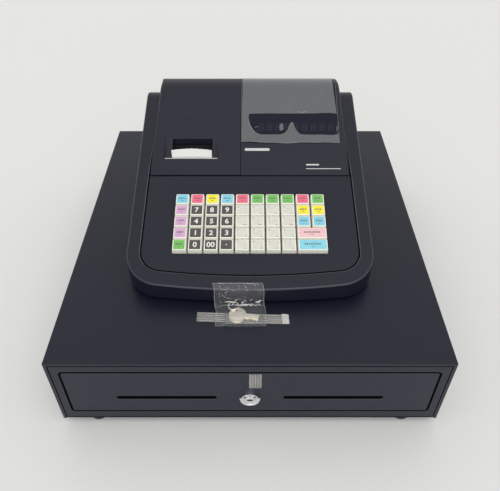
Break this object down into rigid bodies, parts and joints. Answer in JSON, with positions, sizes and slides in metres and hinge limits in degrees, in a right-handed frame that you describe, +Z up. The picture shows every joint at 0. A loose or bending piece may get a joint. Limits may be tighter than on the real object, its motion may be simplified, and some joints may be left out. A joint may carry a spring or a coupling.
{
  "type": "cash register",
  "caption": "Electronic cash register with a sloping keyboard, receipt printer and display, standing on a steel cash drawer that slides out.",
  "frame": {"origin": "centre of the footprint, on the surface that the feet stand on", "axes": "+Z up, +Y towards the back, +X to the right when facing the keyboard"},
  "size_m": [0.41, 0.4472, 0.2327],
  "materials": {
    "case_steel": "fine textured powder coat",
    "drawer_front": "fine textured moulding",
    "feet": "matte",
    "nylon": "satin",
    "zinc_steel": "zinc plated",
    "spring_steel": "bright",
    "screws": "blackened",
    "lock_chrome": "polished",
    "key_nickel": "nickel plated",
    "till_plastic": "satin",
    "housing": "satin, finely grained",
    "key_caps": "clear cap over a coloured label",
    "silicone": "matte",
    "circuit_board": "lacquered",
    "receipt_paper": "matte",
    "printer_plastic": "matte",
    "print_head": "satin",
    "platen_rubber": "matte",
    "smoked_lens": "smoked, polished",
    "film": "clear protective film",
    "laminations": "varnished",
    "inlet_plastic": "matte"
  },
  "bodies": {
    "case": {"case_shell": "case_steel", "case_base": "case_steel", "case_feet": "feet", "slide_rails": "zinc_steel", "solenoid": "zinc_steel", "kick_spring": "spring_steel", "lower_case": "housing", "upper_case": "housing", "register_feet": "feet", "keyboard_panel": "housing", "dome_sheet": "silicone", "keyboard_board": "circuit_board", "hinge_pin": "spring_steel", "receipt_paper": "receipt_paper", "printer_frame": "printer_plastic", "print_head": "print_head", "display_housing": "housing", "display_window": "smoked_lens", "display_film": "film", "display_board": "circuit_board", "rear_window": "smoked_lens", "main_board": "circuit_board", "power_supply": "laminations", "power_inlet": "inlet_plastic", "screws": "screws"},
    "drawer": {"drawer_tray": "case_steel", "drawer_front": "drawer_front", "lock_bezel": "lock_chrome", "till_insert": "till_plastic", "coin_tray": "till_plastic"},
    "printer_lid": {"printer_cover": "housing", "tear_bar": "spring_steel"},
    "lock": {"lock_cylinder": "lock_chrome"},
    "latch": {"latch_hook": "zinc_steel"},
    "roll": {"paper_roll": "receipt_paper"},
    "platen": {"platen_roller": "platen_rubber"},
    "keyring": {"lock_keys": "key_nickel"},
    "front_roller_pair": {"front_rollers": "nylon"},
    "rear_roller_pair": {"rear_rollers": "nylon"},
    "clip_1": {"bill_clip_1": "spring_steel"},
    "clip_2": {"bill_clip_2": "spring_steel"},
    "clip_3": {"bill_clip_3": "spring_steel"},
    "clip_4": {"bill_clip_4": "spring_steel"},
    "key_0_body": {"key_0": "key_caps"},
    "key_1_body": {"key_1": "key_caps"},
    "key_2_body": {"key_2": "key_caps"},
    "key_3_body": {"key_3": "key_caps"},
    "key_4_body": {"key_4": "key_caps"},
    "key_5_body": {"key_5": "key_caps"},
    "key_6_body": {"key_6": "key_caps"},
    "key_7_body": {"key_7": "key_caps"},
    "key_8_body": {"key_8": "key_caps"},
    "key_9_body": {"key_9": "key_caps"},
    "key_00_body": {"key_00": "key_caps"},
    "key_point_body": {"key_point": "key_caps"},
    "key_subtotal_body": {"key_subtotal": "key_caps"},
    "key_cash_body": {"key_cash": "key_caps"},
    "department_keys_body": {"department_keys": "key_caps"},
    "top_row_keys_body": {"top_row_keys": "key_caps"},
    "side_keys_body": {"side_keys": "key_caps"}
  },
  "joints": [
    {"name": "drawer_slide", "type": "slide", "parent": "case", "child": "drawer", "axis": [0, -1, 0], "range_m": [0, 0.33]},
    {"name": "printer_cover_hinge", "type": "hinge", "parent": "case", "child": "printer_lid", "pos_m": [0, 0.15166, 0.22735], "axis": [-1, 0, 0], "range_deg": [0, 80]},
    {"name": "lock_turn", "type": "hinge", "parent": "drawer", "child": "lock", "pos_m": [0, -0.22005, 0.0501], "axis": [0, 1, 0], "range_deg": [-90, 90]},
    {"name": "bill_clip_1_hinge", "type": "hinge", "parent": "drawer", "child": "clip_1", "pos_m": [-0.14025, 0.13245, 0.074], "axis": [-1, 0, 0], "range_deg": [0, 65], "stiffness_Nm_per_rad": 0.02, "springref_deg": -17.19},
    {"name": "bill_clip_2_hinge", "type": "hinge", "parent": "drawer", "child": "clip_2", "pos_m": [-0.04675, 0.13245, 0.074], "axis": [-1, 0, 0], "range_deg": [0, 65], "stiffness_Nm_per_rad": 0.02, "springref_deg": -17.19},
    {"name": "bill_clip_3_hinge", "type": "hinge", "parent": "drawer", "child": "clip_3", "pos_m": [0.04675, 0.13245, 0.074], "axis": [-1, 0, 0], "range_deg": [0, 65], "stiffness_Nm_per_rad": 0.02, "springref_deg": -17.19},
    {"name": "bill_clip_4_hinge", "type": "hinge", "parent": "drawer", "child": "clip_4", "pos_m": [0.14025, 0.13245, 0.074], "axis": [-1, 0, 0], "range_deg": [0, 65], "stiffness_Nm_per_rad": 0.02, "springref_deg": -17.19},
    {"name": "latch_hinge", "type": "hinge", "parent": "case", "child": "latch", "pos_m": [0, 0.21395, 0.058], "axis": [1, 0, 0], "range_deg": [0, 10], "stiffness_Nm_per_rad": 0.01, "springref_deg": -11.46},
    {"name": "keyring_lift", "type": "slide", "parent": "case", "child": "keyring", "axis": [0, 0, 1], "range_m": [0, 0.13]},
    {"name": "paper_roll_spin", "type": "hinge", "parent": "case", "child": "roll", "pos_m": [-0.071, 0.08495, 0.151], "axis": [1, 0, 0], "continuous": true},
    {"name": "platen_spin", "type": "hinge", "parent": "case", "child": "platen", "pos_m": [-0.071, 0.03695, 0.165], "axis": [1, 0, 0], "continuous": true},
    {"name": "front_roller_spin", "type": "hinge", "parent": "case", "child": "front_roller_pair", "pos_m": [0, -0.19405, 0.0476], "axis": [1, 0, 0], "continuous": true},
    {"name": "rear_roller_spin", "type": "hinge", "parent": "drawer", "child": "rear_roller_pair", "pos_m": [0, 0.18495, 0.0476], "axis": [1, 0, 0], "continuous": true},
    {"name": "key_0_press", "type": "slide", "parent": "case", "child": "key_0_body", "axis": [0, 0.289, -0.9573], "range_m": [0, 0.003], "stiffness_N_per_m": 300, "springref_m": -0.001},
    {"name": "key_1_press", "type": "slide", "parent": "case", "child": "key_1_body", "axis": [0, 0.289, -0.9573], "range_m": [0, 0.003], "stiffness_N_per_m": 300, "springref_m": -0.001},
    {"name": "key_2_press", "type": "slide", "parent": "case", "child": "key_2_body", "axis": [0, 0.289, -0.9573], "range_m": [0, 0.003], "stiffness_N_per_m": 300, "springref_m": -0.001},
    {"name": "key_3_press", "type": "slide", "parent": "case", "child": "key_3_body", "axis": [0, 0.289, -0.9573], "range_m": [0, 0.003], "stiffness_N_per_m": 300, "springref_m": -0.001},
    {"name": "key_4_press", "type": "slide", "parent": "case", "child": "key_4_body", "axis": [0, 0.289, -0.9573], "range_m": [0, 0.003], "stiffness_N_per_m": 300, "springref_m": -0.001},
    {"name": "key_5_press", "type": "slide", "parent": "case", "child": "key_5_body", "axis": [0, 0.289, -0.9573], "range_m": [0, 0.003], "stiffness_N_per_m": 300, "springref_m": -0.001},
    {"name": "key_6_press", "type": "slide", "parent": "case", "child": "key_6_body", "axis": [0, 0.289, -0.9573], "range_m": [0, 0.003], "stiffness_N_per_m": 300, "springref_m": -0.001},
    {"name": "key_7_press", "type": "slide", "parent": "case", "child": "key_7_body", "axis": [0, 0.289, -0.9573], "range_m": [0, 0.003], "stiffness_N_per_m": 300, "springref_m": -0.001},
    {"name": "key_8_press", "type": "slide", "parent": "case", "child": "key_8_body", "axis": [0, 0.289, -0.9573], "range_m": [0, 0.003], "stiffness_N_per_m": 300, "springref_m": -0.001},
    {"name": "key_9_press", "type": "slide", "parent": "case", "child": "key_9_body", "axis": [0, 0.289, -0.9573], "range_m": [0, 0.003], "stiffness_N_per_m": 300, "springref_m": -0.001},
    {"name": "key_00_press", "type": "slide", "parent": "case", "child": "key_00_body", "axis": [0, 0.289, -0.9573], "range_m": [0, 0.003], "stiffness_N_per_m": 300, "springref_m": -0.001},
    {"name": "key_point_press", "type": "slide", "parent": "case", "child": "key_point_body", "axis": [0, 0.289, -0.9573], "range_m": [0, 0.003], "stiffness_N_per_m": 300, "springref_m": -0.001},
    {"name": "key_subtotal_press", "type": "slide", "parent": "case", "child": "key_subtotal_body", "axis": [0, 0.289, -0.9573], "range_m": [0, 0.003], "stiffness_N_per_m": 300, "springref_m": -0.001},
    {"name": "key_cash_press", "type": "slide", "parent": "case", "child": "key_cash_body", "axis": [0, 0.289, -0.9573], "range_m": [0, 0.003], "stiffness_N_per_m": 300, "springref_m": -0.001},
    {"name": "department_keys_press", "type": "slide", "parent": "case", "child": "department_keys_body", "axis": [0, 0.289, -0.9573], "range_m": [0, 0.003], "stiffness_N_per_m": 900, "springref_m": -0.001},
    {"name": "top_row_keys_press", "type": "slide", "parent": "case", "child": "top_row_keys_body", "axis": [0, 0.289, -0.9573], "range_m": [0, 0.003], "stiffness_N_per_m": 900, "springref_m": -0.001},
    {"name": "side_keys_press", "type": "slide", "parent": "case", "child": "side_keys_body", "axis": [0, 0.289, -0.9573], "range_m": [0, 0.003], "stiffness_N_per_m": 900, "springref_m": -0.001}
  ],
  "couplings": [
    {"joint": "front_roller_spin", "follows": "drawer_slide", "rad_per_m": 166.67},
    {"joint": "rear_roller_spin", "follows": "drawer_slide", "rad_per_m": 166.67}
  ]
}
